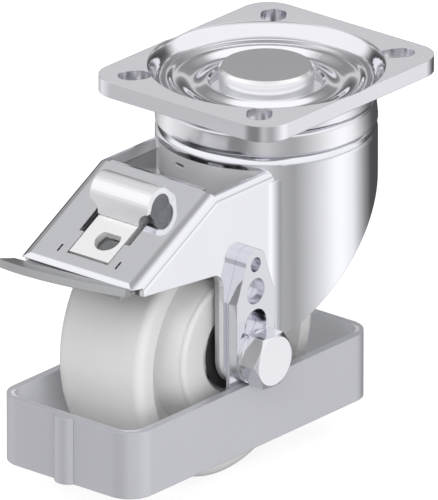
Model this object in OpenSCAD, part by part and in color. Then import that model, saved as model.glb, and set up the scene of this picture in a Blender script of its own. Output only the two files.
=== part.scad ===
// Heavy swivel castor with a stop brake and a wheel guard.
// Origin: centre of the plate's mounting face, on the swivel axis, +Z up.
// The wheel trails toward -X, where the brake pedal is.

/* [Plate] */
// Length of the plate along X
plate_l = 100; // [96:1:130]
// Width of the plate along Y
plate_w = 85; // [83:1:110]
// Thickness of the plate's rim
plate_t = 6; // [5:0.5:8]
// Corner radius of the plate
plate_corner_r = 11; // [6:0.5:14]
// Outermost spacing of the bolt positions along X
hole_pitch_x = 80; // [76:1:84]
// Outermost spacing of the bolt positions along Y
hole_pitch_y = 60; // [56:1:64]
// Width of a bolt slot
slot_w = 9; // [7:0.5:11]
// End-to-end length of a bolt slot
slot_l = 12; // [11.5:0.5:14]

/* [Swivel head] */
// Radius of the ball-race pressing under the plate
press_r = 39.3; // [38.5:0.1:39.8]
// Depth of the ball-race pressing below the mounting face
press_depth = 10.9; // [10:0.1:13]
// Radius of the kingpin's head
kingpin_head_r = 17.2; // [14:0.2:18]
// Radius of the kingpin's shank
kingpin_r = 10; // [8:0.5:11]
// Radius of the round moat around the kingpin's head
moat_r = 20.4; // [19:0.2:22]
// Radius of the ball circle of the upper race
upper_ball_circle_r = 30.5; // [29:0.5:31]
// Radius of an upper ball
upper_ball_r = 3.97; // [3.5:0.01:4]
// Radius of the ball circle of the lower race
lower_ball_circle_r = 17.5; // [17:0.5:19]
// Radius of a lower ball
lower_ball_r = 3; // [2.5:0.1:3.2]
// Gap between the plate's pressing and the dust ring
ring_gap = 0.5; // [0.4:0.1:0.8]

/* [Fork] */
// Outer radius of the fork's round cup
cup_r = 40.1; // [39.5:0.1:42]
// Sheet thickness of the fork
sheet_t = 4; // [3:0.5:4.5]
// Depth of the fork's crown below the mounting face
crown_depth = 19.6; // [19:0.1:22]
// Outer bend radius at the crown's shoulder
shoulder_r = 4.6; // [4.4:0.2:6]
// Gap between the wheel's hub and a leg
leg_gap = 2; // [1.4:0.1:2.8]
// Distance of the axle behind the swivel axis
axle_offset = 45; // [43:1:48]
// Depth of the axle below the mounting face
axle_depth = 90; // [88:1:94]
// Radius of a leg's end about the axle
leg_end_r = 12; // [11:0.5:13]

/* [Brake housing] */
// Roof's slope in degrees
roof_slope = 28; // [26:0.5:30]
// Distance of the roof's upper edge behind the swivel axis
roof_start = 60; // [58:1:62]
// Depth of the roof's plane at its upper edge
roof_depth = 23.4; // [23:0.2:25]
// Distance of the nose behind the swivel axis
nose_offset = 106; // [104:1:107]
// Depth of the nose's lower edge
nose_depth = 48.4; // [47:0.1:49]
// Outer bend radius of the housing
housing_r = 5; // [4.6:0.2:6]
// Distance of the brake pivot behind the swivel axis
pivot_offset = 75; // [74:0.5:76]
// Depth of the brake pivot
pivot_depth = 28.8; // [28:0.2:29.4]
// Outer radius of the hood over the pivot
hood_r = 7.3; // [7:0.1:8]
// Wall of the hood over the barrel
hood_t = 2.3; // [2:0.1:2.6]
// Width of the hood
hood_w = 27; // [26:0.5:29]

/* [Brake] */
// Radius of the brake pivot pin
brake_pin_r = 3; // [2:0.25:3.2]
// Running clearance of the lever on its pin
pin_clearance = 0.05; // [0.02:0.01:0.09]
// Width of the lever's tongue
tongue_w = 18.2; // [16:0.2:20]
// Thickness of the lever's tongue
tongue_t = 3; // [2.5:0.5:3.5]
// Width of the pedal foot
foot_w = 54; // [50:1:58]
// Thickness of the pedal foot
foot_t = 3; // [2.4:0.2:3.4]
// Angle that the pedal turns through to press the shoe on the tread, in degrees
brake_angle = 8; // [6:0.5:9]
// Width of the brake shoe
shoe_w = 26; // [20:1:30]

/* [Wheel] */
// Radius of the wheel
wheel_r = 49; // [47:0.5:50]
// Width over the wheel's shoulders
wheel_w = 39; // [37:0.5:40]
// Width over the wheel's hub
hub_w = 43.4; // [42.6:0.2:44]
// Radius of the hub's face
hub_r = 27.2; // [24:0.2:29]
// Outer radius of the groove in the wheel's side
recess_r = 41.3; // [40:0.1:43]
// Thickness of the wheel's web between its two grooves
web_w = 22; // [18:1:28]
// Radius of the tread's edges
tread_edge_r = 3.5; // [2:0.5:5]
// Outer radius of a wheel bearing
bearing_r = 16; // [15.6:0.2:17]
// Width of a wheel bearing
bearing_w = 9; // [7:0.5:10]

/* [Axle] */
// Radius of the axle bolt's shank
axle_r = 6; // [5:0.25:6.25]
// Wall of the spacer tube on the axle
tube_wall = 1.5; // [1.2:0.1:1.8]
// Width across the flats of the axle bolt's head and nut
hex_af = 19; // [17:0.5:22]
// Height of the axle bolt's head
bolt_head_h = 7.5; // [6:0.5:9]
// Height of the axle nut
nut_h = 10; // [8:0.5:12]
// Radius of the axle washers
washer_r = 10; // [9.5:0.25:10.5]
// Thickness of the axle washers
washer_t = 1.6; // [1:0.1:2.5]

/* [Guard] */
// Length over the guard
guard_l = 135; // [128:1:142]
// Height of the guard's bar
guard_h = 25.4; // [20:0.2:30]
// Wall of the guard's bar
guard_t = 3; // [2:0.25:3.5]
// Outer corner radius of the guard
guard_corner_r = 10; // [7:0.5:14]
// Drop of the guard's upper edge below the axle
guard_drop = 10.7; // [9:0.1:13]
// Thickness of the straps that carry the guard
strap_t = 5; // [4:0.2:5.6]
// Half width of a strap
strap_r = 10.5; // [9.5:0.5:11]
// Radius of a strap's upper end
strap_tip_r = 5.5; // [4.5:0.5:6.5]
// Rise of the centre of a strap's upper end above the axle
strap_rise = 35.2; // [33:0.2:37]
// Thickness of a strap's foot, which the guard's bar is pressed on
strap_foot_t = 1.55; // [1:0.05:2.5]

/* [Hidden] */
$fn = 96;
eps = 0.01;
big = 300;

// Gaps: a seat between pieces that stay together, and a gap between pieces that move
seat = 0.05;
free = 0.35;

// Plate pressing, top side
groove_r = 43.2;
groove_floor_r = 38.2;
groove_floor_z = -5.6;
ridge_r = 36;
ridge_z = -4.3;
dish_r = 33.4;
dish_z = -5.5;
bowl_r = 27;
bowl_z = -7.1;
dish_rim_z = -5.8;
moat_floor_z = -(press_depth - 2.6);
press_fillet = 2;

// Upper race
upper_ball_z = -(press_depth + upper_ball_r - 1.5);
crown_race_h = 3.6;

// Lower race
crown_under_z = -(crown_depth + sheet_t);
lower_ball_z = crown_under_z - lower_ball_r + 0.7;
lower_race_top_z = lower_ball_z - 1.3;
lower_race_h = 4;
lower_race_bottom_z = lower_race_top_z - lower_race_h;
kingpin_nut_h = 6;
kingpin_nut_r = 14.5;
crown_hole_r = kingpin_r + 2;

// Legs and axle, seen from the side
axle_x = -axle_offset;
axle_z = -axle_depth;
leg_y = hub_w / 2 + leg_gap + sheet_t;
leg_in_y = leg_y - sheet_t;
bend_x = -sqrt(cup_r * cup_r - leg_y * leg_y);
leg_back_x = axle_x - leg_end_r;
cut_angle = 42.5;
bend_fillet_r = 8;
wall_bottom_rear_z = -55.5;
wall_bottom_nose_z = -51.5;
cup_back_depth = 36.5;

// Roof, seen from the side
roof_start_x = -roof_start;
roof_start_z = -roof_depth;
nose_x = -nose_offset;
nose_core_x = nose_x + housing_r;
housing_core_y = leg_y - housing_r;
roof_core_z = roof_start_z - housing_r / cos(roof_slope);
nose_core_z = roof_core_z + (nose_core_x - roof_start_x) * tan(roof_slope);
pivot_x = -pivot_offset;
pivot_z = -pivot_depth;
hood_in_r = hood_r - hood_t;
window_w = tongue_w + 0.8;
window_wide_w = hood_w - 3.4;
window_wide_x = -90;
window_end_x = -99.5;
channel_end_x = bend_x + 1;
cup_in_x = -sqrt(pow(cup_r - sheet_t, 2) - leg_in_y * leg_in_y);
nose_cut_x = roof_start_x - (nose_depth + roof_start_z - sheet_t / cos(roof_slope)) / tan(roof_slope) + 0.2;
rim_angle = 54;
bend_relief = 1.6;
vent_angle = 168.7;
vent_z = -29;
cheek_t = 2;
cheek_out_y = hood_w / 2 - 0.6;
barrel_r = hood_in_r - 0.4;
barrel_w = 2 * (cheek_out_y - cheek_t) - 0.7;

// Pedal foot, its front edge turned a little about Z
foot_tilt = 18;
foot_turn = 7;
foot_front_x = -113.1;
foot_front_z = -46;
foot_bow = 8;
foot_gap = 0.4;
foot_l = 20;
neck_w = 2 * (leg_in_y - 1.2);
neck_top_z = -nose_depth - foot_gap;
neck_x = -93;
tongue_end_x = window_end_x + 0.9;
web_t = 3;
arm_w = 16;
shoe_t = 6;
shoe_from = 110;
shoe_to = 134;
d_hole_r = 5;
d_hole_x = -90.5;
d_hole_y = -2;
screw_r = 3.6;
screw_top = 3.4;
screw_bottom = 6;

// Wheel
hub_edge_r = 2;
hub_foot_r = hub_r + 4.4;
groove_floor_in_r = hub_foot_r + 2.2;
groove_floor_out_r = recess_r - 4.4;
bearing_out_y = hub_w / 2 + 0.3;
tube_r = axle_r + seat + tube_wall;
inner_ring_r = tube_r + 2.1;
outer_ring_in_r = bearing_r - 2.4;
seal_r = bearing_r - 1.1;
wheel_ball_r = 2.3;
wheel_ball_circle_r = (inner_ring_r + outer_ring_in_r) / 2;

// Straps and guard
strap_out_y = leg_y + strap_t;
strap_foot_y = leg_y + strap_foot_t;
guard_w = 2 * (strap_foot_y + guard_t);
guard_top_z = axle_z - guard_drop;
guard_bottom_z = guard_top_z - guard_h;
rib_r = 5.2;
rib_inset = 2.5;
strap_tip_z = axle_z + strap_rise;
strap_shoulder_z = axle_z + 22;
strap_foot_z = guard_bottom_z + 6;
strap_holes = [[axle_z + 11.6, 6], [axle_z + 24.6, 4.8], [axle_z + 34.8, 2.7]];

function ball_count(circle_r, ball_r) = floor(2 * PI * circle_r / (2 * ball_r * 1.09));
function roof_z(x) = roof_start_z + (x - roof_start_x) * tan(roof_slope);

// A side-view outline in X and Z, given thickness along Y from y0 to y1
module side_plate(y0, y1) {
    translate([0, y1, 0])
        rotate([90, 0, 0])
            linear_extrude(y1 - y0)
                children();
}

// A cylinder along Y from y0 to y1
module y_rod(r, y0, y1, x = axle_x, z = axle_z) {
    translate([x, y1, z])
        rotate([90, 0, 0])
            cylinder(r = r, h = y1 - y0);
}

// A profile of radius and height turned about an axis along Y through the axle
module y_turned(x = axle_x, z = axle_z) {
    translate([x, 0, z])
        rotate([-90, 0, 0])
            rotate_extrude()
                children();
}

// A ring of balls about Z
module ball_ring(circle_r, ball_r, z) {
    count = ball_count(circle_r, ball_r);
    for (i = [0 : count - 1])
        rotate([0, 0, 360 * i / count])
            translate([circle_r, 0, z])
                sphere(r = ball_r, $fn = 32);
}

module rounded_rect(l, w, r) {
    for (x = [-1, 1], y = [-1, 1])
        translate([x * (l / 2 - r), y * (w / 2 - r)])
            circle(r = r);
    square([l - 2 * r, w], center = true);
    square([l, w - 2 * r], center = true);
}

// One bolt slot, pointing at the plate's centre, its outer end arc on the bolt position
module bolt_slot(sx, sy) {
    angle = atan2(sy * hole_pitch_y, sx * hole_pitch_x);
    travel = slot_l - slot_w;
    translate([sx * hole_pitch_x / 2, sy * hole_pitch_y / 2])
        rotate(angle) {
            circle(r = slot_w / 2);
            translate([-travel, 0])
                circle(r = slot_w / 2);
            translate([-travel, -slot_w / 2])
                square([travel, slot_w]);
        }
}

module top_plate() {
    color("silver")
        difference() {
            union() {
                translate([0, 0, -plate_t])
                    linear_extrude(plate_t)
                        difference() {
                            rounded_rect(plate_l, plate_w, plate_corner_r);
                            for (sx = [-1, 1], sy = [-1, 1])
                                bolt_slot(sx, sy);
                        }
                translate([0, 0, -press_depth])
                    cylinder(r = press_r, h = press_depth - plate_t + eps);
                translate([0, 0, -plate_t - press_fillet])
                    cylinder(r1 = press_r, r2 = press_r + press_fillet, h = press_fillet + eps);
            }
            plate_dish();
            translate([0, 0, -press_depth - 1])
                cylinder(r = kingpin_r, h = press_depth + 1);
            rotate_extrude()
                translate([upper_ball_circle_r, upper_ball_z])
                    circle(r = upper_ball_r + seat, $fn = 48);
        }
}

// What the press takes out of the plate's top: a round groove, a ridge, a round bowl and the moat
module plate_dish() {
    rotate_extrude()
        polygon(concat(
            [[0, 1], [groove_r, 1]],
            wave(groove_r, 0, groove_floor_r, groove_floor_z),
            wave(groove_floor_r, groove_floor_z, ridge_r, ridge_z),
            wave(ridge_r, ridge_z, dish_r, dish_z),
            wave(dish_r, dish_z, bowl_r, bowl_z),
            wave(bowl_r, bowl_z, moat_r + 0.8, dish_rim_z),
            [[moat_r, dish_rim_z - 0.8],
             [moat_r, moat_floor_z], [0, moat_floor_z]]
        ));
}

// Points of a smooth step from one radius and height to the next
function wave(r0, z0, r1, z1) = [
    for (a = [15 : 15 : 180])
        [r0 + (r1 - r0) * a / 180, (z0 + z1) / 2 + (z0 - z1) / 2 * cos(a)]
];

module kingpin() {
    head_top_z = -0.3;
    color("darkgray")
        rotate_extrude()
            polygon([
                [0, head_top_z], [kingpin_head_r - 1.1, head_top_z],
                [kingpin_head_r, head_top_z - 1.1], [kingpin_head_r, moat_floor_z],
                [kingpin_r, moat_floor_z],
                [kingpin_r, lower_race_bottom_z - kingpin_nut_h - 1],
                [kingpin_r - 1, lower_race_bottom_z - kingpin_nut_h - 2],
                [0, lower_race_bottom_z - kingpin_nut_h - 2]
            ]);
}

module lower_race() {
    color("dimgray")
        difference() {
            translate([0, 0, lower_race_bottom_z])
                cylinder(r = lower_ball_circle_r + 4.2, h = lower_race_h);
            translate([0, 0, lower_race_bottom_z - 1])
                cylinder(r = kingpin_r, h = lower_race_h + 2);
            rotate_extrude()
                translate([lower_ball_circle_r, lower_ball_z])
                    circle(r = lower_ball_r + seat, $fn = 48);
        }
}

module kingpin_nut() {
    color("dimgray")
        translate([0, 0, lower_race_bottom_z - kingpin_nut_h])
            difference() {
                intersection() {
                    cylinder(r = kingpin_nut_r / cos(30), h = kingpin_nut_h, $fn = 6);
                    cylinder(r1 = kingpin_nut_r, r2 = kingpin_nut_r + 6, h = kingpin_nut_h);
                }
                translate([0, 0, -1])
                    cylinder(r = kingpin_r, h = kingpin_nut_h + 2);
            }
}

module upper_balls() {
    color("lightgray")
        ball_ring(upper_ball_circle_r, upper_ball_r, upper_ball_z);
}

module lower_balls() {
    color("lightgray")
        ball_ring(lower_ball_circle_r, lower_ball_r, lower_ball_z);
}

// The lower half of the upper ball race, seated on the fork's crown
module crown_race() {
    color("dimgray")
        difference() {
            translate([0, 0, -crown_depth])
                cylinder(r = upper_ball_circle_r + 3.2, h = crown_race_h);
            translate([0, 0, -crown_depth - 1])
                cylinder(r = upper_ball_circle_r - 5.5, h = crown_race_h + 2);
            rotate_extrude()
                translate([upper_ball_circle_r, upper_ball_z])
                    circle(r = upper_ball_r + free, $fn = 48);
        }
}

// The flared ring that closes the ball race from outside
module dust_ring() {
    ring_top = -(press_depth + ring_gap);
    ring_foot = 1.4;
    top_r = cup_r - 0.5;
    fillet = 2;
    color("gainsboro")
        rotate_extrude()
            polygon(concat(
                [[upper_ball_circle_r + 3.4, -crown_depth], [cup_r, -crown_depth]],
                [[cup_r, -crown_depth + 1.2]],
                [for (a = [0 : 15 : 90])
                    [top_r - fillet + fillet * cos(a), ring_top - fillet + fillet * sin(a)]],
                [[upper_ball_circle_r + 5.2, ring_top], [upper_ball_circle_r + 5.2, ring_top - ring_foot],
                 [top_r - 2, ring_top - ring_foot - fillet / 2],
                 [cup_r - 2, -crown_depth + ring_foot],
                 [upper_ball_circle_r + 3.4, -crown_depth + ring_foot]]
            ));
}

// The solid that the fork's cup fills, made smaller by inset to hollow it out
module cup_solid(inset) {
    r = cup_r - inset;
    top = -(crown_depth + inset);
    bend = shoulder_r - inset;
    rotate_extrude() {
        translate([0, top - big / 2])
            square([r - bend, big / 2]);
        translate([0, top - bend - big / 2])
            square([r, big / 2]);
        translate([r - bend, top - bend])
            circle(r = bend, $fn = 64);
    }
}

// Side view of a leg: round about the axle, with the slanted leading cut
module leg_outline() {
    reach = 110;
    start = [axle_x + leg_end_r * sin(cut_angle), axle_z - leg_end_r * cos(cut_angle)];
    translate([axle_x, axle_z])
        circle(r = leg_end_r);
    polygon([
        [leg_back_x, axle_z],
        start,
        [start[0] + reach * cos(cut_angle), start[1] + reach * sin(cut_angle)],
        [leg_back_x, 0]
    ]);
}

// The fork's round cup, cut away in front of the wheel
module cup() {
    intersection() {
        difference() {
            cup_solid(0);
            cup_solid(sheet_t);
        }
        side_plate(-cup_r - 1, cup_r + 1) {
            intersection() {
                leg_outline();
                translate([bend_x, -big / 2])
                    square([big, big / 2]);
            }
            translate([-cup_r - 1, -cup_back_depth])
                square([2 * cup_r + 2, cup_back_depth]);
        }
    }
}

// The flat legs below the channel, at both sides of the wheel
module legs() {
    for (side = [-1, 1])
        side_plate(
            side > 0 ? leg_in_y : -leg_y,
            side > 0 ? leg_y : -leg_in_y
        )
            intersection() {
                leg_outline();
                translate([leg_back_x - 1, axle_z - 2 * leg_end_r])
                    square([channel_end_x - leg_back_x + 1, roof_core_z - axle_z + 2 * leg_end_r]);
            }
}

// The hollow corner between the round cup and a flat leg, seen from above
module bend_corner() {
    centre = [-sqrt(pow(cup_r + bend_fillet_r, 2) - pow(leg_y + bend_fillet_r, 2)), leg_y + bend_fillet_r];
    touch = centre * cup_r / (cup_r + bend_fillet_r);
    difference() {
        polygon([
            [centre[0], leg_y - 1], [centre[0], leg_y], centre, touch,
            [touch[0], touch[1] - 2], [bend_x + 1, leg_y - 1]
        ]);
        translate(centre)
            circle(r = bend_fillet_r);
    }
}

module bend_fillets() {
    intersection() {
        for (side = [0, 1])
            mirror([0, side, 0])
                translate([0, 0, axle_z - leg_end_r])
                    linear_extrude(roof_core_z - axle_z + leg_end_r)
                        bend_corner();
        side_plate(-leg_y - bend_fillet_r, leg_y + bend_fillet_r)
            leg_outline();
    }
}

// Side view of what the channel keeps between its upper and its lower edges
module channel_outline() {
    fillet = 6;
    corner = [leg_back_x - fillet, wall_bottom_rear_z - fillet];
    polygon(concat(
        [[channel_end_x, 0], [nose_x - 1, 0], [nose_x - 1, -nose_depth],
         [nose_core_x, -nose_depth], [nose_core_x, wall_bottom_nose_z]],
        [for (a = [90 : -15 : 0]) corner + fillet * [cos(a), sin(a)]],
        [[channel_end_x, corner[1]]]
    ));
}

// Cross-section of the channel, its top edges rounded, with the top at height 0
module channel_section(inset) {
    r = housing_r - inset;
    half = leg_y - inset;
    depth = 90;
    translate([-half, -depth])
        square([2 * half, depth - housing_r]);
    translate([-housing_core_y, -housing_r - 1])
        square([2 * housing_core_y, r + 1]);
    for (y = [-housing_core_y, housing_core_y])
        translate([y, -housing_r])
            circle(r = r);
}

// Side view of the channel, round at the nose
module channel_profile(inset) {
    r = housing_r - inset;
    low = -big / 2;
    translate([nose_core_x, nose_core_z])
        circle(r = r);
    translate([nose_core_x - r, low])
        square([r, nose_core_z - low]);
    polygon([
        [nose_core_x, low], [nose_core_x, nose_core_z],
        [nose_core_x, nose_core_z] + r * [-sin(roof_slope), cos(roof_slope)],
        [roof_start_x, roof_z(roof_start_x) + 2 * housing_r],
        [channel_end_x, roof_z(roof_start_x) + 2 * housing_r], [channel_end_x, low]
    ]);
}

// Plan of the channel, its corners rounded at the nose
module channel_plan(inset) {
    r = housing_r - inset;
    translate([nose_core_x, -housing_core_y - r])
        square([channel_end_x - nose_core_x, 2 * (housing_core_y + r)]);
    translate([nose_core_x - r, -housing_core_y])
        square([r + 1, 2 * housing_core_y]);
    for (y = [-housing_core_y, housing_core_y])
        translate([nose_core_x, y])
            circle(r = r);
}

// The channel as a solid: a level and a sloped box that meet at the bend line, cut to the nose
module channel_solid(inset) {
    intersection() {
        channel_box(inset, 0);
        channel_box(inset, roof_slope);
        side_plate(-leg_y - 1, leg_y + 1)
            channel_profile(inset);
        translate([0, 0, -big / 2])
            linear_extrude(big)
                channel_plan(inset);
    }
}

// The channel's cross-section drawn along its bend line's slope
module channel_box(inset, slope) {
    translate([roof_start_x, 0, roof_core_z])
        rotate([0, -slope, 0])
            rotate([90, 0, 90])
                translate([0, housing_r])
                    linear_extrude(160, center = true)
                        channel_section(inset);
}

// The channel with its roof, walls and nose, open above in front of the roof
module channel() {
    difference() {
        intersection() {
            difference() {
                channel_solid(0);
                channel_solid(sheet_t);
            }
            side_plate(-leg_y - 1, leg_y + 1)
                channel_outline();
        }
        pocket();
        roof_window();
        translate([nose_x - 1, -leg_in_y, -nose_depth - housing_r])
            cube([nose_cut_x - nose_x + 1, 2 * leg_in_y, housing_r]);
    }
}

// The open pocket between the roof and the cup, whose rims stay curled inward, with a bend relief at each end
module pocket() {
    rise = 20;
    run = rise / tan(rim_angle);
    relief_y = housing_core_y - 1;
    difference() {
        translate([roof_start_x - bend_relief, 0, roof_core_z])
            rotate([90, 0, 90])
                linear_extrude(channel_end_x - roof_start_x + bend_relief + 1)
                    polygon([
                        [-housing_core_y - run, rise], [-housing_core_y, 0],
                        [-housing_core_y, -1], [housing_core_y, -1],
                        [housing_core_y, 0], [housing_core_y + run, rise]
                    ]);
        translate([roof_start_x - bend_relief - 1, -relief_y, roof_core_z - 2])
            cube([bend_relief + 1, 2 * relief_y, rise + 3]);
    }
}

// The opening in the roof for the lever, with a slit beside it at the nose
module roof_window() {
    slit_y = 13.5;
    slit_w = 0.8;
    slit_l = 3.4;
    translate([window_end_x, -window_w / 2, -nose_depth])
        cube([pivot_x - window_end_x, window_w, nose_depth]);
    translate([window_wide_x, -window_wide_w / 2, -nose_depth])
        cube([pivot_x + hood_in_r - window_wide_x, window_wide_w, nose_depth]);
    for (y = [-slit_y, slit_y])
        translate([window_end_x - 0.5, y - slit_w / 2, -nose_depth])
            cube([slit_l, slit_w, nose_depth]);
}

// Lower edge of the hood's skirt, along the tongue's slope
function skirt_z(x) = roof_z(x) + free / cos(roof_slope);

// The hood over the brake pivot: round over the pin, its front drawn in to a narrower skirt on the tongue
module hood() {
    top_a = 70;
    join_x = pivot_x + hood_r + 1.2;
    front_x = pivot_x - hood_r;
    wall_x = pivot_x - hood_in_r - 0.4;
    intersection() {
        side_plate(-hood_w / 2, hood_w / 2)
            difference() {
                polygon(concat(
                    [[join_x, roof_z(join_x)]],
                    [for (a = [top_a : 10 : 180])
                        [pivot_x + hood_r * cos(a), pivot_z + hood_r * sin(a)]],
                    [[front_x, skirt_z(front_x)], [wall_x, skirt_z(wall_x)], [wall_x, pivot_z],
                     [pivot_x, pivot_z], [pivot_x + hood_in_r, pivot_z - 2],
                     [pivot_x + hood_in_r, roof_z(pivot_x + hood_in_r) - 1],
                     [join_x, roof_z(join_x) - 2]]
                ));
                translate([pivot_x, pivot_z])
                    circle(r = hood_in_r);
            }
        translate([front_x - 1, 0, pivot_z])
            rotate([90, 0, 90])
                linear_extrude(join_x - front_x + 2)
                    hood_front();
    }
}

// Front view of the hood from the pivot's height, its lower corners drawn in with round fillets
module hood_front() {
    over = 0.4;
    half = hood_w / 2;
    fillet = half - window_w / 2 + over;
    fillet_z = -1 - fillet;
    difference() {
        translate([-half - 1, fillet_z])
            square([hood_w + 2, hood_r + 1 - fillet_z]);
        for (y = [-half - over, half + over])
            translate([y, fillet_z])
                circle(r = fillet);
    }
    translate([-window_w / 2, -2 * hood_r])
        square([window_w, 2 * hood_r]);
}

module fork() {
    color("whitesmoke")
        difference() {
            union() {
                cup();
                legs();
                bend_fillets();
                channel();
                hood();
            }
            translate([0, 0, -crown_depth - sheet_t - 1])
                cylinder(r = crown_hole_r, h = sheet_t + 2);
            rotate_extrude()
                translate([lower_ball_circle_r, lower_ball_z])
                    circle(r = lower_ball_r + free, $fn = 48);
            y_rod(axle_r + seat, -leg_y - 1, leg_y + 1);
            y_rod(hood_in_r, -cheek_out_y, cheek_out_y, pivot_x, pivot_z);
            leg_clearance();
            vent();
        }
}

// Takes the cup's inner wall back to the legs' inner faces, beside the hub
module leg_clearance() {
    low = axle_z - leg_end_r - 1;
    translate([bend_x - 1, -leg_in_y, low])
        cube([cup_in_x - bend_x + 1, 2 * leg_in_y, -cup_back_depth - low]);
}

// A small slot in the cup's back wall
module vent() {
    vent_w = 4.6;
    vent_h = 1.2;
    rotate(vent_angle)
        translate([cup_r - sheet_t - 1, -vent_w / 2, vent_z - vent_h / 2])
            cube([sheet_t + 2, vent_w, vent_h]);
}

// A cheek inside the hood's end, which carries the pivot pin
module hood_cheek(side) {
    y0 = side > 0 ? cheek_out_y - cheek_t : -cheek_out_y;
    color("gray")
        difference() {
            y_rod(hood_in_r, y0, y0 + cheek_t, pivot_x, pivot_z);
            y_rod(brake_pin_r, y0 - 1, y0 + cheek_t + 1, pivot_x, pivot_z);
        }
}
module hood_cheek_right() { hood_cheek(-1); }
module hood_cheek_left() { hood_cheek(1); }

module brake_pin() {
    color("gray")
        y_rod(brake_pin_r, -cheek_out_y, cheek_out_y, pivot_x, pivot_z);
}

// Strap from the axle up the leg, with the guard's height holes
module strap(side) {
    y0 = side > 0 ? leg_y : -strap_out_y;
    color("lightgray")
        difference() {
            union() {
                side_plate(y0, y0 + strap_t)
                    union() {
                        translate([axle_x, axle_z])
                            circle(r = strap_r);
                        polygon([
                            [axle_x - strap_r, axle_z], [axle_x + strap_r, axle_z],
                            [axle_x + strap_r, strap_shoulder_z], [axle_x + strap_tip_r, strap_tip_z],
                            [axle_x - strap_tip_r, strap_tip_z], [axle_x - strap_r, strap_shoulder_z]
                        ]);
                        translate([axle_x, strap_tip_z])
                            circle(r = strap_tip_r);
                    }
                side_plate(
                    side > 0 ? leg_y : -strap_foot_y,
                    side > 0 ? strap_foot_y : -leg_y
                )
                    translate([axle_x - strap_r, strap_foot_z])
                        square([2 * strap_r, axle_z - strap_foot_z]);
            }
            y_rod(axle_r + seat, -guard_w, guard_w);
            for (hole = strap_holes)
                y_rod(hole[1], -guard_w, guard_w, axle_x, hole[0]);
        }
}
module strap_right() { strap(-1); }
module strap_left() { strap(1); }

module guard_frame() {
    color("silver")
        translate([axle_x, 0, guard_bottom_z])
            linear_extrude(guard_h)
                difference() {
                    rounded_rect(guard_l, guard_w, guard_corner_r);
                    rounded_rect(guard_l - 2 * guard_t, guard_w - 2 * guard_t, guard_corner_r - guard_t);
                }
}

// Round seam where the guard's bar ends meet at the pedal side
module guard_rib() {
    face_x = axle_x - guard_l / 2;
    color("silver")
        intersection() {
            translate([face_x + rib_inset, 0, guard_bottom_z])
                cylinder(r = rib_r, h = guard_h);
            translate([face_x - rib_r, -rib_r, guard_bottom_z])
                cube([rib_r, 2 * rib_r, guard_h]);
        }
}

// A hexagon along Y with its outer corners chamfered
module y_hex(af, h) {
    intersection() {
        cylinder(r = af / 2 / cos(30), h = h, $fn = 6);
        cylinder(r1 = af / 2 + h * 1.7, r2 = af / 2 - 0.4, h = h);
    }
}

module axle_bolt() {
    head_y = strap_out_y + washer_t;
    end_y = strap_out_y + washer_t + nut_h + 2.5;
    color("gainsboro") {
        translate([axle_x, -head_y, axle_z])
            rotate([90, 0, 0])
                y_hex(hex_af, bolt_head_h);
        y_rod(axle_r, -head_y, end_y);
    }
}

module axle_nut() {
    color("gainsboro")
        translate([axle_x, strap_out_y + washer_t, axle_z])
            rotate([-90, 0, 0])
                difference() {
                    y_hex(hex_af, nut_h);
                    translate([0, 0, -1])
                        cylinder(r = axle_r, h = nut_h + 2);
                }
}

module axle_washer(y0) {
    color("gainsboro")
        difference() {
            y_rod(washer_r, y0, y0 + washer_t);
            y_rod(axle_r + seat, y0 - 1, y0 + washer_t + 1);
        }
}
module bolt_washer() { axle_washer(-strap_out_y - washer_t); }
module nut_washer() { axle_washer(strap_out_y); }

module axle_tube() {
    color("gray")
        difference() {
            y_rod(tube_r, -leg_in_y, leg_in_y);
            y_rod(axle_r + seat, -leg_in_y - 1, leg_in_y + 1);
        }
}

// A bearing ring between two radii, with the balls' groove turned out of it
module bearing_ring(r_in, r_out, side, play) {
    y1 = bearing_out_y;
    y0 = y1 - bearing_w;
    color("silver")
        difference() {
            y_rod(r_out, side > 0 ? y0 : -y1, side > 0 ? y1 : -y0);
            y_rod(r_in, -y1 - 1, y1 + 1);
            y_turned()
                translate([wheel_ball_circle_r, side * (y0 + y1) / 2])
                    circle(r = wheel_ball_r + play, $fn = 48);
        }
}
module inner_ring_right() { bearing_ring(tube_r, inner_ring_r, -1, free); }
module inner_ring_left() { bearing_ring(tube_r, inner_ring_r, 1, free); }
module outer_ring_right() { bearing_ring(outer_ring_in_r, bearing_r, -1, seat); }
module outer_ring_left() { bearing_ring(outer_ring_in_r, bearing_r, 1, seat); }

module wheel_balls(side) {
    count = ball_count(wheel_ball_circle_r, wheel_ball_r * 1.15);
    color("lightgray")
        for (i = [0 : count - 1])
            translate([axle_x, side * (bearing_out_y - bearing_w / 2), axle_z])
                rotate([0, 360 * i / count, 0])
                    translate([wheel_ball_circle_r, 0, 0])
                        sphere(r = wheel_ball_r, $fn = 32);
}
module wheel_balls_right() { wheel_balls(-1); }
module wheel_balls_left() { wheel_balls(1); }

// Black seal pressed into the bearing's outer ring
module seal(side) {
    seal_t = 0.3;
    y1 = bearing_out_y + seal_t;
    color("black")
        difference() {
            y_rod(seal_r, side > 0 ? bearing_out_y : -y1, side > 0 ? y1 : -bearing_out_y);
            y_rod(inner_ring_r + free, -y1 - 1, y1 + 1);
        }
}
module seal_right() { seal(-1); }
module seal_left() { seal(1); }

// Half of the wheel's profile, from the bore out to the tread, as radius and half width
function wheel_side() = concat(
    [[bearing_r, hub_w / 2]],
    rounded_edge(hub_r, hub_w / 2, hub_edge_r),
    [[hub_foot_r - 0.8, web_w / 2 + 2.4], [hub_foot_r + 0.5, web_w / 2 + 0.7], [groove_floor_in_r, web_w / 2]],
    [[groove_floor_out_r, web_w / 2], [groove_floor_out_r + 0.9, web_w / 2 + 0.8], [recess_r, wheel_w / 2]],
    rounded_edge(wheel_r, wheel_w / 2, tread_edge_r)
);

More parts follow.
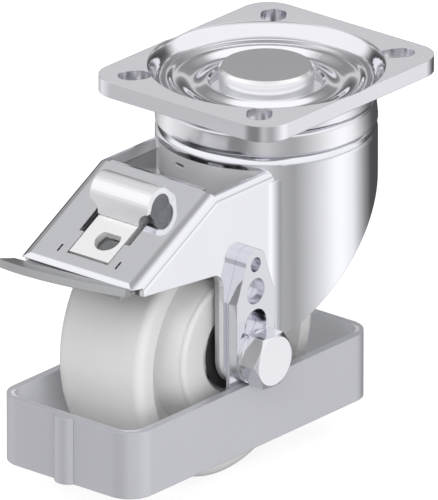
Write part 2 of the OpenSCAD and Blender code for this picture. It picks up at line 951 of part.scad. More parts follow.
// Points of an outer edge rounded from the side face to the radius
function rounded_edge(r, half, edge_r) = [
    for (a = [90 : -15 : 0])
        [r - edge_r + edge_r * cos(a), half - edge_r + edge_r * sin(a)]
];

module wheel() {
    half = wheel_side();
    last = len(half) - 1;
    bearing_in_y = bearing_out_y - bearing_w;
    color("white")
        y_turned()
            polygon(concat(
                half,
                [for (i = [last : -1 : 0]) [half[i][0], -half[i][1]]],
                [[bearing_r, -bearing_in_y], [bearing_r - 2.5, -bearing_in_y],
                 [bearing_r - 2.5, bearing_in_y], [bearing_r, bearing_in_y]]
            ));
}

// A point in X and Z, measured down along the roof's plane from below the pivot and up from it
function on_roof(u, v) = [
    pivot_x - u * cos(roof_slope) - v * sin(roof_slope),
    roof_z(pivot_x) - u * sin(roof_slope) + v * cos(roof_slope)
];

// Centre of the shoe's curve at rest: the axle, turned back about the pivot by the brake's angle
function shoe_centre() = [
    pivot_x + (axle_x - pivot_x) * cos(brake_angle) + (axle_z - pivot_z) * sin(brake_angle),
    pivot_z - (axle_x - pivot_x) * sin(brake_angle) + (axle_z - pivot_z) * cos(brake_angle)
];

// Barrel on the pivot pin, the tongue in the roof's window, the web to the foot and the shoe's arm
module brake_lever() {
    end_u = (pivot_x - tongue_end_x) / cos(roof_slope);
    hole_u = (pivot_x - d_hole_x) / cos(roof_slope);
    color("white")
        difference() {
            union() {
                y_rod(barrel_r, -barrel_w / 2, barrel_w / 2, pivot_x, pivot_z);
                side_plate(-tongue_w / 2, tongue_w / 2) {
                    polygon([
                        on_roof(-2, 0), on_roof(end_u, 0), on_roof(end_u, -tongue_t), on_roof(-2, -tongue_t)
                    ]);
                    polygon([
                        on_roof(end_u, -tongue_t + 1), [tongue_end_x, neck_top_z],
                        [tongue_end_x + web_t, neck_top_z], on_roof(end_u - web_t - 1, -tongue_t + 1)
                    ]);
                }
                side_plate(-arm_w / 2, arm_w / 2)
                    difference() {
                        polygon([
                            on_roof(1, -tongue_t + 1), on_roof(10, -tongue_t + 1),
                            on_roof(hole_u - screw_r - 1, -screw_bottom), on_roof(hole_u + screw_r, -screw_bottom),
                            on_roof(hole_u + screw_r, -20), on_roof(1, -20)
                        ]);
                        translate(shoe_centre())
                            circle(r = wheel_r + free + shoe_t);
                    }
            }
            y_rod(brake_pin_r + pin_clearance, -barrel_w, barrel_w, pivot_x, pivot_z);
            d_hole();
        }
}

// The round hole in the tongue, with a straight edge toward the pivot
module d_hole() {
    flat = d_hole_r - 1.8;
    translate([d_hole_x, d_hole_y, roof_z(d_hole_x)])
        rotate([0, -roof_slope, 0])
            intersection() {
                translate([0, 0, -tongue_t - 1])
                    cylinder(r = d_hole_r, h = tongue_t + 2);
                translate([-d_hole_r - 1, -d_hole_r - 1, -tongue_t - 2])
                    cube([d_hole_r + 1 + flat, 2 * d_hole_r + 2, tongue_t + 4]);
            }
}

// The foot in front of the nose, tipped up toward its curved edge, and its neck under the nose
module pedal_foot() {
    back = nose_x - foot_gap;
    color("silver") {
        difference() {
            translate([foot_front_x, 0, foot_front_z])
                rotate([0, 0, foot_turn])
                    rotate([0, foot_tilt, 0])
                        translate([0, 0, -foot_t])
                            linear_extrude(foot_t)
                                foot_outline();
            translate([back, -foot_w, -big / 2])
                cube([2 * foot_l, 2 * foot_w, big]);
            side_plate(-foot_w, foot_w)
                intersection() {
                    translate([pivot_x, pivot_z])
                        circle(r = norm([nose_x - pivot_x, pivot_z + nose_depth]) + foot_gap);
                    translate([nose_x - foot_l, neck_top_z])
                        square([2 * foot_l, 2 * foot_l]);
                }
        }
        translate([back - 1.5, -neck_w / 2, neck_top_z - foot_t])
            cube([neck_x - back + 1.5, neck_w, foot_t]);
    }
}

module foot_outline() {
    half = foot_w / 2;
    bow_r = (half * half + foot_bow * foot_bow) / (2 * foot_bow);
    translate([0, -half])
        square([foot_l, foot_w]);
    intersection() {
        translate([bow_r - foot_bow, 0])
            circle(r = bow_r, $fn = 180);
        translate([-foot_bow, -half])
            square([foot_bow + 1, foot_w]);
    }
}

// The block that is pressed on the tread, hollowed to the wheel's curve
module brake_shoe() {
    face_r = wheel_r + free;
    reach = 2 * face_r;
    color("dimgray")
        side_plate(-shoe_w / 2, shoe_w / 2)
            translate(shoe_centre())
                intersection() {
                    difference() {
                        circle(r = face_r + shoe_t);
                        circle(r = face_r);
                    }
                    polygon([
                        [0, 0], reach * [cos(shoe_from), sin(shoe_from)], reach * [cos(shoe_to), sin(shoe_to)]
                    ]);
                }
}

module adjusting_screw() {
    color("gray")
        translate([d_hole_x, d_hole_y, roof_z(d_hole_x)])
            rotate([0, -roof_slope, 0])
                translate([0, 0, -screw_bottom])
                    cylinder(r = screw_r, h = screw_bottom - screw_top);
}

top_plate();
kingpin();
lower_race();
kingpin_nut();
upper_balls();
lower_balls();
fork();
dust_ring();
crown_race();
hood_cheek_right();
hood_cheek_left();
brake_pin();
strap_right();
strap_left();
guard_frame();
guard_rib();
axle_bolt();
axle_nut();
bolt_washer();
nut_washer();
axle_tube();
inner_ring_right();
inner_ring_left();
wheel();
outer_ring_right();
outer_ring_left();
wheel_balls_right();
wheel_balls_left();
seal_right();
seal_left();
brake_lever();
pedal_foot();
brake_shoe();
adjusting_screw();
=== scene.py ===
import math

import bpy
import numpy as np
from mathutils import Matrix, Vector


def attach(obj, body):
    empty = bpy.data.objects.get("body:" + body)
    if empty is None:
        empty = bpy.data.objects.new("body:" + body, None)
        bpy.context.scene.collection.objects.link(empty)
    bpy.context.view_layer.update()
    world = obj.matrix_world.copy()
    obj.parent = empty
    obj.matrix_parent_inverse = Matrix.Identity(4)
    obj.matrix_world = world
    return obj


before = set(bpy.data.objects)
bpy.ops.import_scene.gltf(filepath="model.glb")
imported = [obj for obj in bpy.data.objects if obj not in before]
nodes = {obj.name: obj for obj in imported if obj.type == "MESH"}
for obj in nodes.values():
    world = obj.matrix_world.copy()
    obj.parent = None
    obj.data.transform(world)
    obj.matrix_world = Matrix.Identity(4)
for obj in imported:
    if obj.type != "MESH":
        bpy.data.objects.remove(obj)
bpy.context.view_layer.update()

scene = bpy.context.scene


# Top plate
# The plate is pressed from 6 mm steel and zinc plated: a rim with four slots round a grooved bowl. Its
# faces are bright, and its sheared edges and the slots' walls are duller.
def new_material(name):
    """An empty node tree with a Principled shader wired to the output."""
    mat = bpy.data.materials.new(name)
    mat.use_nodes = True
    tree = mat.node_tree
    tree.nodes.clear()
    out = tree.nodes.new("ShaderNodeOutputMaterial")
    bsdf = tree.nodes.new("ShaderNodeBsdfPrincipled")
    tree.links.new(bsdf.outputs["BSDF"], out.inputs["Surface"])
    return mat, tree, bsdf


def add(tree, kind, **inputs):
    """A node of that kind with its inputs set to values or linked to sockets."""
    node = tree.nodes.new(kind)
    for key, value in inputs.items():
        socket = node.inputs[key.replace("_", " ")]
        if isinstance(value, bpy.types.NodeSocket):
            tree.links.new(value, socket)
        else:
            socket.default_value = value
    return node


def math_node(tree, operation, a, b=0.0, c=0.0):
    """The output of a Math node over sockets or numbers."""
    node = tree.nodes.new("ShaderNodeMath")
    node.operation = operation
    for i, value in enumerate((a, b, c)):
        if isinstance(value, bpy.types.NodeSocket):
            tree.links.new(value, node.inputs[i])
        else:
            node.inputs[i].default_value = value
    return node.outputs[0]


def smooth_step(tree, value, start, end):
    """0 before start, 1 after end, smooth between, whichever way they lie."""
    node = tree.nodes.new("ShaderNodeMapRange")
    node.interpolation_type = "SMOOTHSTEP"
    low, high = min(start, end), max(start, end)
    ends = (0, 1) if start < end else (1, 0)
    tree.links.new(value, node.inputs["Value"])
    for key, number in (("From Min", low), ("From Max", high), ("To Min", ends[0]), ("To Max", ends[1])):
        node.inputs[key].default_value = number
    return node.outputs["Result"]


def blend(tree, factor, first, second):
    """first where the factor is 0 and second where it is 1, each a socket or a colour."""
    mix = tree.nodes.new("ShaderNodeMix")
    mix.data_type = "RGBA"
    tree.links.new(factor, mix.inputs["Factor"])
    for index, value in ((6, first), (7, second)):
        if isinstance(value, bpy.types.NodeSocket):
            tree.links.new(value, mix.inputs[index])
        else:
            mix.inputs[index].default_value = (*value, 1)
    return mix.outputs[2]


def blend_number(tree, factor, first, second):
    """first plus the factor times the way from first to the number second."""
    way = math_node(tree, "SUBTRACT", second, first)
    return math_node(tree, "MULTIPLY_ADD", factor, way, first)


def noise(tree, point, scale, detail=4.0, stretch=(1, 1, 1)):
    """Noise at that scale per metre, stretched along an axis by scaling the point."""
    mapped = add(tree, "ShaderNodeMapping", Vector=point, Scale=stretch)
    texture = add(tree, "ShaderNodeTexNoise", Vector=mapped.outputs[0], Scale=scale, Detail=detail)
    return texture.outputs["Fac"]


def soften(tree, bsdf, height, strength, edge):
    """A bump over softly rounded edges, as the shader's normal."""
    bevel = tree.nodes.new("ShaderNodeBevel")
    bevel.samples = 4
    bevel.inputs["Radius"].default_value = edge
    bump = add(tree, "ShaderNodeBump", Strength=strength, Distance=0.0002, Height=height)
    tree.links.new(bevel.outputs[0], bump.inputs["Normal"])
    tree.links.new(bump.outputs[0], bsdf.inputs["Normal"])


def metal(name, colour, rough, metallic=1.0, grain=0.003, stretch=(1, 1, 1), edge=0.0004, zones=()):
    """Plated or plain steel: clouds in the tone, fine grain in the roughness and hairline scratches.

    A zone is a mask over the part, with the colour, the roughness and the metallic share it has there.
    """
    mat, tree, bsdf = new_material(name)
    coords = tree.nodes.new("ShaderNodeTexCoord")
    point = coords.outputs["Object"]
    split = add(tree, "ShaderNodeSeparateXYZ", Vector=point)
    tone_swing, rough_swing, hair_length = 0.025, 0.05, 0.06
    cloud = noise(tree, point, scale=45, detail=3)
    fine = noise(tree, point, scale=900, detail=2, stretch=stretch)
    hair_stretch = (stretch[0] * hair_length, stretch[1], stretch[2])
    hair = noise(tree, point, scale=500, detail=2, stretch=hair_stretch)
    dark = tuple(c * (1 - tone_swing) for c in colour)
    light = tuple(min(1, c * (1 + tone_swing)) for c in colour)
    tone = blend(tree, cloud, dark, light)
    rough_out = math_node(tree, "MULTIPLY_ADD", fine, rough_swing, rough - rough_swing)
    share = metallic
    for mask, zone_colour, zone_rough, zone_metallic in zones:
        inside = mask(tree, coords, split)
        tone = blend(tree, inside, tone, zone_colour)
        rough_out = blend_number(tree, inside, rough_out, zone_rough)
        if zone_metallic != metallic:
            share = blend_number(tree, inside, share, zone_metallic)
    tree.links.new(tone, bsdf.inputs["Base Color"])
    tree.links.new(math_node(tree, "MULTIPLY_ADD", cloud, rough_swing, rough_out), bsdf.inputs["Roughness"])
    if isinstance(share, bpy.types.NodeSocket):
        tree.links.new(share, bsdf.inputs["Metallic"])
    else:
        bsdf.inputs["Metallic"].default_value = share
    soften(tree, bsdf, math_node(tree, "MULTIPLY_ADD", hair, 0.5, fine), grain, edge)
    return mat


def dress(mat, *names):
    """Puts a material on CAD nodes."""
    for name in names:
        nodes[name].data.materials.clear()
        nodes[name].data.materials.append(mat)


def sheared_edges(tree, coords, split):
    """1 on upright walls, 0 on the faces and the pressing."""
    normal = add(tree, "ShaderNodeSeparateXYZ", Vector=coords.outputs["Normal"])
    sloping, upright = 0.35, 0.15
    return smooth_step(tree, math_node(tree, "ABSOLUTE", normal.outputs["Z"]), sloping, upright)


plate_zinc = metal("plate_zinc", (0.88, 0.878, 0.925), 0.07,
                   zones=[(sheared_edges, (0.86, 0.858, 0.91), 0.22, 1.0)])
dress(plate_zinc, "top_plate")


# Kingpin and ball races
# The kingpin is a plain steel rivet whose turned head stands in the bowl, its top face left matt grey.
# The hardened races and the balls are only seen through the gaps.
def pin_face(tree, coords, split):
    """1 on the head's flat top."""
    face_z = -0.0003
    return smooth_step(tree, split.outputs["Z"], face_z - 0.0002, face_z - 0.00005)


pin_steel = metal("pin_steel", (0.97, 0.972, 0.98), 0.20, metallic=0.75,
                  zones=[(pin_face, (0.56, 0.562, 0.578), 0.34, 0.75)])
dark_steel = metal("dark_steel", (0.42, 0.425, 0.435), 0.28)
ball_steel = metal("ball_steel", (0.72, 0.72, 0.73), 0.08, grain=0.001)
dress(pin_steel, "kingpin")
dress(dark_steel, "lower_race", "kingpin_nut", "crown_race")
dress(ball_steel, "upper_balls", "lower_balls", "wheel_balls_right", "wheel_balls_left")


# Fork
# The fork is one pressing of 4 mm sheet with a bright blue-white zinc plating: the round cup, the flat
# legs and the brake housing. Inside the pocket, the housing and the cup, the plating is painted darker
# as shade, darkest under the roof; the cup's wall facing the pocket is left out of that painted shade
# and made satin. The plating is satin on the rolled hood. The dust ring is the same plating. The masks
# change in the middle of the sheet.
ROOF_SLOPE = math.tan(math.radians(28))
ROOF_START_X, ROOF_START_Z = -0.060, -0.0234
HALF_SHEET = 0.002
WALL_MIDDLE_Y = 0.0257
CROWN_MIDDLE_Z = -0.0216
CUP_R = 0.0401
BEND_X = -0.029
PIVOT_X = -0.075
HOOD_HALF_W = 0.0135
MASK_EDGE = 0.0003


def roof_level(tree, split, offset):
    """The height of the housing's roof plane at the point's X, plus an offset."""
    start = ROOF_START_Z - ROOF_START_X * ROOF_SLOPE
    return math_node(tree, "MULTIPLY_ADD", split.outputs["X"], ROOF_SLOPE, start + offset)


def axis_distance(tree, split):
    """The point's distance from the swivel axis."""
    flat = add(tree, "ShaderNodeCombineXYZ", X=split.outputs["X"], Y=split.outputs["Y"])
    length = tree.nodes.new("ShaderNodeVectorMath")
    length.operation = "LENGTH"
    tree.links.new(flat.outputs[0], length.inputs[0])
    return length.outputs["Value"]


def inside_shade(tree, coords, split):
    """1 on the walls of the pocket and the housing, and inside the cup below its crown, where painted shade
    goes.
    """
    across = math_node(tree, "ABSOLUTE", split.outputs["Y"])
    ceiling = math_node(tree, "MINIMUM", roof_level(tree, split, -HALF_SHEET), ROOF_START_Z - HALF_SHEET)
    under = math_node(tree, "SUBTRACT", split.outputs["Z"], ceiling)
    below = smooth_step(tree, under, MASK_EDGE, -MASK_EDGE)
    between = smooth_step(tree, across, WALL_MIDDLE_Y + MASK_EDGE, WALL_MIDDLE_Y - MASK_EDGE)
    behind = smooth_step(tree, split.outputs["X"], BEND_X + 0.0005, BEND_X - 0.0005)
    channel = math_node(tree, "MULTIPLY", math_node(tree, "MULTIPLY", below, between), behind)
    cup_middle_r = CUP_R - HALF_SHEET
    in_radius = smooth_step(tree, axis_distance(tree, split), cup_middle_r + MASK_EDGE,
                            cup_middle_r - MASK_EDGE)
    under_crown = smooth_step(tree, split.outputs["Z"], CROWN_MIDDLE_Z + MASK_EDGE,
                              CROWN_MIDDLE_Z - MASK_EDGE)
    return math_node(tree, "MAXIMUM", channel, math_node(tree, "MULTIPLY", in_radius, under_crown))


def cup_face(tree, coords, split):
    """1 on the cup's outer wall where it faces the pocket."""
    radius = axis_distance(tree, split)
    on_wall = math_node(tree, "MULTIPLY", smooth_step(tree, radius, CUP_R - 0.0011, CUP_R - 0.0005),
                        smooth_step(tree, radius, CUP_R + 0.0009, CUP_R + 0.0004))
    return math_node(tree, "MULTIPLY", on_wall, inside_shade(tree, coords, split))


def roof_shade(tree, coords, split):
    """1 inside the housing under its roof, where the deepest painted shade goes, and 0 elsewhere."""
    covered = smooth_step(tree, split.outputs["X"], ROOF_START_X + 0.001, ROOF_START_X - 0.002)
    return math_node(tree, "MULTIPLY", inside_shade(tree, coords, split), covered)


def hood_roll(tree, coords, split):
    """1 on the hood over the brake's pivot."""
    across = smooth_step(tree, math_node(tree, "ABSOLUTE", split.outputs["Y"]), HOOD_HALF_W + 0.0006,
                         HOOD_HALF_W + 0.0002)
    rear = smooth_step(tree, split.outputs["X"], PIVOT_X - 0.010, PIVOT_X - 0.0085)
    front = smooth_step(tree, split.outputs["X"], PIVOT_X + 0.011, PIVOT_X + 0.008)
    level = math_node(tree, "SUBTRACT", split.outputs["Z"], roof_level(tree, split, 0))
    above = smooth_step(tree, level, 0.0001, 0.0005)
    return math_node(tree, "MULTIPLY", math_node(tree, "MULTIPLY", across, rear),
                     math_node(tree, "MULTIPLY", front, above))


fork_zinc = metal("fork_zinc", (0.895, 0.90, 0.95), 0.10, zones=[
    # Painted shade inside the pocket, the housing and the cup, deepest under the roof.
    (inside_shade, (0.44, 0.44, 0.455), 0.34, 0.6),
    (cup_face, (0.88, 0.88, 0.90), 0.30, 0.5),
    (roof_shade, (0.16, 0.16, 0.168), 0.40, 0.6),
    (hood_roll, (0.93, 0.932, 0.945), 0.28, 0.8),
])
ring_zinc = metal("ring_zinc", (0.91, 0.91, 0.955), 0.20)
dress(fork_zinc, "fork")
dress(ring_zinc, "dust_ring")


# Brake
# A plated lever turns on a steel pin in the hood: its tongue lies in the roof's window, its curved foot
# is a darker satin grey, and the grey rubber shoe is adjusted by a socket screw under the round hole.
def moulded(name, colour, rough):
    """Moulded rubber or plastic with a fine pebble grain."""
    mat, tree, bsdf = new_material(name)
    point = tree.nodes.new("ShaderNodeTexCoord").outputs["Object"]
    cloud = noise(tree, point, scale=120, detail=3)
    pebble = noise(tree, point, scale=2200, detail=2)
    rough_swing = 0.1
    light = tuple(c * 1.6 + 0.01 for c in colour)
    tree.links.new(blend(tree, cloud, colour, light), bsdf.inputs["Base Color"])
    grain = math_node(tree, "MULTIPLY_ADD", pebble, 2 * rough_swing, rough - rough_swing)
    tree.links.new(grain, bsdf.inputs["Roughness"])
    soften(tree, bsdf, pebble, strength=0.15, edge=0.0003)
    return mat


lever_zinc = metal("lever_zinc", (0.97, 0.972, 0.98), 0.24, metallic=0.6)
foot_zinc = metal("foot_zinc", (0.44, 0.443, 0.455), 0.34, metallic=0.8)
# Dark steel for the brake pin and the adjusting screw; on the hood's end cheeks this dark grey is painted
# shade.
dark_steel_and_cheek_shade = metal("dark_steel_and_cheek_shade", (0.24, 0.243, 0.25), 0.40)
shoe_grey = moulded("shoe_grey", (0.05, 0.05, 0.053), 0.6)
dress(lever_zinc, "brake_lever")
dress(foot_zinc, "pedal_foot")
dress(dark_steel_and_cheek_shade, "hood_cheek_right", "hood_cheek_left", "brake_pin", "adjusting_screw")
dress(shoe_grey, "brake_shoe")


# Wheel
# The wheel is turned from cast white polyamide, with faint tool rings about its axle. A sealed ball
# bearing sits in each side of the hub.
def polyamide(name, centre_x, centre_z):
    """Slightly translucent white nylon with faint turning rings about the axle."""
    mat, tree, bsdf = new_material(name)
    point = tree.nodes.new("ShaderNodeTexCoord").outputs["Object"]
    split = add(tree, "ShaderNodeSeparateXYZ", Vector=point)
    dx = math_node(tree, "SUBTRACT", split.outputs["X"], centre_x)
    dz = math_node(tree, "SUBTRACT", split.outputs["Z"], centre_z)
    dx_squared = math_node(tree, "MULTIPLY", dx, dx)
    dz_squared = math_node(tree, "MULTIPLY", dz, dz)
    radius = math_node(tree, "SQRT", math_node(tree, "ADD", dx_squared, dz_squared))
    radians_per_metre = 5200.0
    rings = math_node(tree, "SINE", math_node(tree, "MULTIPLY", radius, radians_per_metre))
    cloud = noise(tree, point, scale=60, detail=4)
    speck = noise(tree, point, scale=900, detail=2)
    tone = math_node(tree, "MULTIPLY_ADD", speck, 0.3, math_node(tree, "MULTIPLY", cloud, 0.7))
    tree.links.new(blend(tree, tone, (0.59, 0.590, 0.587), (0.66, 0.660, 0.656)), bsdf.inputs["Base Color"])
    tree.links.new(math_node(tree, "MULTIPLY_ADD", speck, 0.12, 0.28), bsdf.inputs["Roughness"])
    bsdf.inputs["Subsurface Weight"].default_value = 0.15
    bsdf.inputs["Subsurface Radius"].default_value = (0.004, 0.004, 0.004)
    bsdf.inputs["Subsurface Scale"].default_value = 0.4
    bsdf.inputs["Coat Weight"].default_value = 0.15
    bsdf.inputs["Coat Roughness"].default_value = 0.25
    surface = math_node(tree, "MULTIPLY_ADD", rings, 0.25, speck)
    soften(tree, bsdf, surface, strength=0.05, edge=0.0006)
    return mat


AXLE = Vector((-0.045, 0, -0.090))
white_wheel = polyamide("white_polyamide", AXLE.x, AXLE.z)
black_seal = moulded("black_seal", (0.010, 0.010, 0.011), 0.5)
dress(white_wheel, "wheel")
dress(black_seal, "seal_right", "seal_left")
bearing_steel = metal("bearing_steel", (0.86, 0.862, 0.87), 0.16)
dress(dark_steel, "axle_tube", "inner_ring_right", "inner_ring_left")
dress(bearing_steel, "outer_ring_right", "outer_ring_left")


# Axle bolt and nut
# A zinc-plated M12 bolt and a locking nut hold the axle. The bolt's thread shows where its end stands
# out of the nut on the +Y side, and the nut's nylon ring grips it there.
def signed_volume(points, faces):
    """Six times the volume that the quads enclose, positive where they point outwards."""
    a, b, c, d = (points[faces[:, i]] for i in range(4))
    return float(np.sum(np.cross(a, b) * c) + np.sum(np.cross(a, c) * d))


def grid_object(name, points, mat, body, round_u=False, caps=False):
    """A closed mesh from a grid of points, rows by columns.

    Columns always join round. Rows join round too where round_u is set, or else caps close the first
    and the last row.
    """
    rows, cols = points.shape[:2]
    index = np.arange(rows * cols).reshape(rows, cols)
    if round_u:
        index = np.vstack([index, index[:1]])
    index = np.hstack([index, index[:, :1]])
    quads = np.stack([index[:-1, :-1], index[:-1, 1:], index[1:, 1:], index[1:, :-1]], -1).reshape(-1, 4)
    flat = points.reshape(-1, 3)
    faces = quads.tolist()
    if caps:
        faces += [index[0, :-1][::-1].tolist(), index[-1, :-1].tolist()]
    if signed_volume(flat, quads) < 0:
        faces = [face[::-1] for face in faces]
    mesh = bpy.data.meshes.new(name)
    mesh.from_pydata(flat.tolist(), [], faces)
    mesh.validate()
    mesh.polygons.foreach_set("use_smooth", [True] * len(mesh.polygons))
    mesh.materials.append(mat)
    piece = bpy.data.objects.new(name, mesh)
    scene.collection.objects.link(piece)
    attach(piece, body)
    return piece


def thread_points(radius, start_y, pitch, turns):
    """A helical ridge: an oval section carried along a helix about the axle, thinning at both ends."""
    ridge_h, ridge_half_w, fade_angle = 0.0003, 0.00048, 0.8
    along = np.linspace(0, 2 * math.pi * turns, 160)[:, None]
    around = np.linspace(0, 2 * math.pi, 12, endpoint=False)[None, :]
    fade = np.clip(np.minimum(along, along[-1] - along) / fade_angle, 0.05, 1)
    reach = radius + ridge_h * fade * np.cos(around)
    y = start_y + pitch * along / (2 * math.pi) + ridge_half_w * fade * np.sin(around)
    return np.stack([AXLE.x + reach * np.cos(along), y, AXLE.z + reach * np.sin(along)], -1)


def ring_points(middle_r, half_w, middle_y, half_h):
    """A ring about the axle with an oval section."""
    turn = np.linspace(0, 2 * math.pi, 64, endpoint=False)[:, None]
    lip = np.linspace(0, 2 * math.pi, 16, endpoint=False)[None, :]
    reach = middle_r + half_w * np.cos(lip)
    y = middle_y + half_h * np.sin(lip) + 0 * turn
    return np.stack([AXLE.x + reach * np.cos(turn), y, AXLE.z + reach * np.sin(turn)], -1)


bolt_zinc = metal("bolt_zinc", (0.90, 0.903, 0.945), 0.12)
nylon_grey = moulded("nylon_grey", (0.35, 0.36, 0.38), 0.45)
dress(bolt_zinc, "axle_bolt", "axle_nut", "bolt_washer", "nut_washer")
NUT_OUT_Y = 0.0443
BOLT_R = 0.006
thread = thread_points(BOLT_R, NUT_OUT_Y + 0.0007, pitch=0.00125, turns=1.05)
grid_object("axle_thread", thread, bolt_zinc, "fork", caps=True)
ring = ring_points(middle_r=BOLT_R + 0.0011, half_w=0.0008, middle_y=NUT_OUT_Y - 0.0001, half_h=0.0005)
grid_object("nut_ring", ring, nylon_grey, "fork", round_u=True)


# Guard
# The guard is a drawn flat bar bent round the wheel and carried by two straps from the axle. The straps
# are bright plated; the bar has a satin drawn finish, and its ends meet in a round seam at the rear.
# Each strap's foot is welded to the bar's inner wall by a scalloped bead down each side.
GUARD_INNER_X, GUARD_INNER_Y = 0.0645, 0.02925
GUARD_TOP_Z, GUARD_BOTTOM_Z = -0.1007, -0.1261
STRAP_HALF_W = 0.0105
strap_zinc = metal("strap_zinc", (0.76, 0.765, 0.81), 0.12)


def guard_inside_light(tree, coords, split):
    """1 on the bar's inner walls, which are painted lighter as painted light over their shade."""
    across = math_node(tree, "ABSOLUTE", split.outputs["Y"])
    along = math_node(tree, "ABSOLUTE", math_node(tree, "SUBTRACT", split.outputs["X"], AXLE.x))
    round_corner = GUARD_INNER_X + GUARD_INNER_Y - 0.00195
    corner = smooth_step(tree, math_node(tree, "ADD", across, along), round_corner, round_corner - 0.0004)
    sides = math_node(tree, "MULTIPLY",
                      smooth_step(tree, across, GUARD_INNER_Y + 0.00025, GUARD_INNER_Y + 0.00015),
                      smooth_step(tree, along, GUARD_INNER_X + 0.0003, GUARD_INNER_X + 0.0002))
    return math_node(tree, "MULTIPLY", sides, corner)


guard_zinc = metal("guard_zinc", (0.545, 0.548, 0.59), 0.42, metallic=0.5, stretch=(0.2, 0.2, 1),
                   # Painted light on the bar's inner walls, lifting the shade there.
                   zones=[(guard_inside_light, (0.74, 0.745, 0.785), 0.42, 0.3)])
dress(strap_zinc, "strap_right", "strap_left")
dress(guard_zinc, "guard_frame", "guard_rib")


def bead_points(start, end, width):
    """A round section carried along a line, swelling in scallops and tapering at both ends."""
    start, end = np.array(start), np.array(end)
    t = np.linspace(0, 1, 60)[:, None]
    around = np.linspace(0, 2 * math.pi, 12, endpoint=False)[None, :]
    scallop_depth, scallop_pitch = 0.16, 0.0011
    length = float(np.linalg.norm(end - start))
    swell = 1 + scallop_depth * np.abs(np.sin(math.pi * t * length / scallop_pitch))
    reach = width / 2 * swell * np.sqrt(np.clip(1 - (2 * t - 1) ** 8, 0.02, 1))
    path = start * (1 - t) + end * t
    section = np.stack([np.cos(around), np.sin(around), 0 * around], -1)
    return path[:, None, :] + reach[..., None] * section


for side_name, side in (("right", -1), ("left", 1)):
    for end_name, x in (("rear", AXLE.x - STRAP_HALF_W), ("front", AXLE.x + STRAP_HALF_W)):
        y = side * (GUARD_INNER_Y - 0.0006)
        top, foot = (x, y, GUARD_TOP_Z - 0.002), (x, y, GUARD_BOTTOM_Z + 0.0075)
        bead = bead_points(top, foot, width=0.0018)
        grid_object("weld_%s_%s" % (side_name, end_name), bead, guard_zinc, "fork", caps=True)


# Floor
# A wide pale floor under the wheel. The camera sees it as white with the castor's soft shadow, and the
# metal reflects the studio through it.
def stage_floor(reach, height):
    """A square of twice that reach, glowing and softly lit for the camera and clear for other rays."""
    mesh = bpy.data.meshes.new("floor")
    corners = [(x * reach, y * reach, height) for x, y in ((-1, -1), (1, -1), (1, 1), (-1, 1))]
    mesh.from_pydata(corners, [], [(0, 1, 2, 3)])
    mat = bpy.data.materials.new("floor")
    mat.use_nodes = True
    tree = mat.node_tree
    tree.nodes.clear()
    out = tree.nodes.new("ShaderNodeOutputMaterial")
    path = tree.nodes.new("ShaderNodeLightPath")
    clear = tree.nodes.new("ShaderNodeBsdfTransparent")
    glow = add(tree, "ShaderNodeEmission", Color=(1, 1, 1, 1), Strength=0.82)
    lit = add(tree, "ShaderNodeBsdfDiffuse", Color=(0.30, 0.30, 0.30, 1))
    both = tree.nodes.new("ShaderNodeAddShader")
    tree.links.new(glow.outputs[0], both.inputs[0])
    tree.links.new(lit.outputs[0], both.inputs[1])
    mix = tree.nodes.new("ShaderNodeMixShader")
    tree.links.new(path.outputs["Is Camera Ray"], mix.inputs[0])
    tree.links.new(clear.outputs[0], mix.inputs[1])
    tree.links.new(both.outputs[0], mix.inputs[2])
    tree.links.new(mix.outputs[0], out.inputs["Surface"])
    mesh.materials.append(mat)
    floor = bpy.data.objects.new("floor", mesh)
    floor.visible_shadow = False
    scene.collection.objects.link(floor)


FLOOR_Z = -0.139
stage_floor(3.0, FLOOR_Z)


# World
# A plain studio: bright on the camera's side, dim on the far side under one soft lamp overhead, which
# gives plated steel its bands, and tall soft shapes below the horizon that shade the fork's round cup.
def ramp(tree, factor, stops):
    """A colour ramp's output, its stops given as position and grey."""
    node = tree.nodes.new("ShaderNodeValToRGB")
    tree.links.new(factor, node.inputs["Fac"])
    elements = node.color_ramp.elements
    while len(elements) < len(stops):
        elements.new(0.5)
    for element, (position, value) in zip(elements, stops):
        element.position = position
        element.color = (value, value, value, 1)
    return node.outputs["Color"]


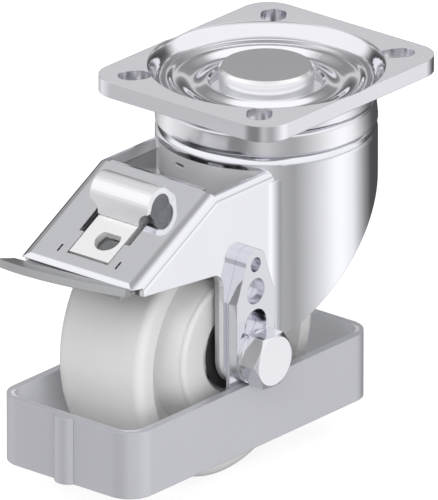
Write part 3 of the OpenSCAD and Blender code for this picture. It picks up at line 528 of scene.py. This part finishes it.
def studio_world():
    """The world's light by direction; the camera sees plain white."""
    world = bpy.data.worlds.new("studio")
    scene.world = world
    world.use_nodes = True
    tree = world.node_tree
    tree.nodes.clear()
    out = tree.nodes.new("ShaderNodeOutputWorld")
    direction = tree.nodes.new("ShaderNodeTexCoord").outputs["Generated"]
    split = add(tree, "ShaderNodeSeparateXYZ", Vector=direction)
    z = split.outputs["Z"]
    height = math_node(tree, "MULTIPLY_ADD", z, 0.5, 0.5)
    far_side = ramp(tree, height, [
        (0.48, 0.05), (0.56, 0.08), (0.62, 0.16), (0.665, 0.30), (0.679, 0.62), (0.698, 0.62),
        (0.715, 0.28), (0.77, 0.26), (0.83, 0.38), (0.88, 0.50), (0.92, 0.58), (0.97, 0.42), (1.0, 0.36),
    ])
    near_side = ramp(tree, height, [(0.47, 0.40), (0.52, 0.60), (0.58, 0.88), (0.88, 0.93), (0.94, 0.78),
                                    (1.0, 0.36)])
    far_azimuth = math.radians(35)
    around = math_node(tree, "ARCTAN2", split.outputs["Y"], split.outputs["X"])
    away = math_node(tree, "COSINE", math_node(tree, "SUBTRACT", around, far_azimuth))
    far_rim, far_full = 0.30, 0.60
    dome = blend(tree, smooth_step(tree, away, far_rim, far_full), near_side, far_side)
    lamp_direction, lamp_rim, lamp_full = (0.41, 0.29, 0.865), 0.935, 0.975
    toward_lamp = tree.nodes.new("ShaderNodeVectorMath")
    toward_lamp.operation = "DOT_PRODUCT"
    tree.links.new(direction, toward_lamp.inputs[0])
    toward_lamp.inputs[1].default_value = lamp_direction
    lamp = smooth_step(tree, toward_lamp.outputs["Value"], lamp_rim, lamp_full)
    above = blend(tree, lamp, dome, (1.0, 1.0, 1.0))
    below = ramp(tree, math_node(tree, "MULTIPLY_ADD", around, 0.5 / math.pi, 0.5), [
        (0.0, 0.20), (0.05, 0.20), (0.10, 0.60), (0.15, 0.42), (0.19, 0.35), (0.239, 0.57), (0.278, 0.76),
        (0.319, 0.97), (0.345, 1.0), (0.389, 0.86), (0.417, 0.57), (0.449, 0.29), (0.489, 0.08),
        (0.60, 0.06), (0.70, 0.55), (0.77, 0.85), (0.89, 0.56), (0.94, 0.22), (1.0, 0.20),
    ])
    ground_rim, ground_full = -0.55, -0.85
    ground = blend(tree, smooth_step(tree, z, ground_rim, ground_full), below, (0.28, 0.28, 0.28))
    horizon_top, horizon_foot = 0.02, -0.12
    mixed = blend(tree, smooth_step(tree, z, horizon_top, horizon_foot), above, ground)
    studio = add(tree, "ShaderNodeBackground", Color=mixed, Strength=1.08)
    backdrop = add(tree, "ShaderNodeBackground", Color=(1, 1, 1, 1), Strength=1.0)
    path = tree.nodes.new("ShaderNodeLightPath")
    choose = tree.nodes.new("ShaderNodeMixShader")
    tree.links.new(path.outputs["Is Camera Ray"], choose.inputs[0])
    tree.links.new(studio.outputs[0], choose.inputs[1])
    tree.links.new(backdrop.outputs[0], choose.inputs[2])
    tree.links.new(choose.outputs[0], out.inputs["Surface"])


studio_world()


# Lights
# Three large soft panels: the key at the camera's upper left, the fill low beside the camera, and one
# behind for the far side.
def soft_panel(name, place, size, watts):
    """An area light at a place, aimed at the middle of the castor."""
    data = bpy.data.lights.new(name, "AREA")
    data.shape = "SQUARE"
    data.size = size
    data.energy = watts
    light = bpy.data.objects.new(name, data)
    light.location = place
    target = Vector((-0.03, 0, -0.07))
    light.rotation_euler = (target - Vector(place)).to_track_quat("-Z", "Y").to_euler()
    light.visible_glossy = False
    scene.collection.objects.link(light)


soft_panel("key", (-0.9, -0.35, 0.7), 0.7, 7.0)
soft_panel("fill", (-0.5, -1.1, 0.0), 0.8, 5.0)
soft_panel("back", (0.9, 0.7, 0.5), 0.8, 5.0)


# Camera
# The photograph's view has parallel edges, so a very long lens stands far off at azimuth -50 degrees
# and elevation 22.04 degrees.
def photo_camera():
    """The camera at the photograph's angle, framed by the origin's and the middle's pixels in it."""
    azimuth, elevation = math.radians(-50), math.radians(22.04)
    back = Vector((math.sin(azimuth) * math.cos(elevation), -math.cos(azimuth) * math.cos(elevation),
                   math.sin(elevation)))
    right = Vector((math.cos(azimuth), math.sin(azimuth), 0))
    up = back.cross(right)
    pixel = 0.001 / 2.79
    origin_x, origin_y, middle_x, middle_y, half_height = 267.3, 65.3, 219.8, 251.4, 250
    centre = right * ((middle_x - origin_x) * pixel) + up * ((origin_y - middle_y) * pixel)
    data = bpy.data.cameras.new("camera")
    data.lens = 1400
    data.sensor_width = 36
    reach = half_height * pixel / math.tan(math.atan(data.sensor_width / 2 / data.lens))
    camera = bpy.data.objects.new("camera", data)
    camera.location = centre + back * reach
    camera.rotation_euler = (-back).to_track_quat("-Z", "Y").to_euler()
    data.clip_start, data.clip_end = 0.1, reach + 10
    scene.collection.objects.link(camera)
    scene.camera = camera


photo_camera()

scene.view_settings.view_transform = "Standard"
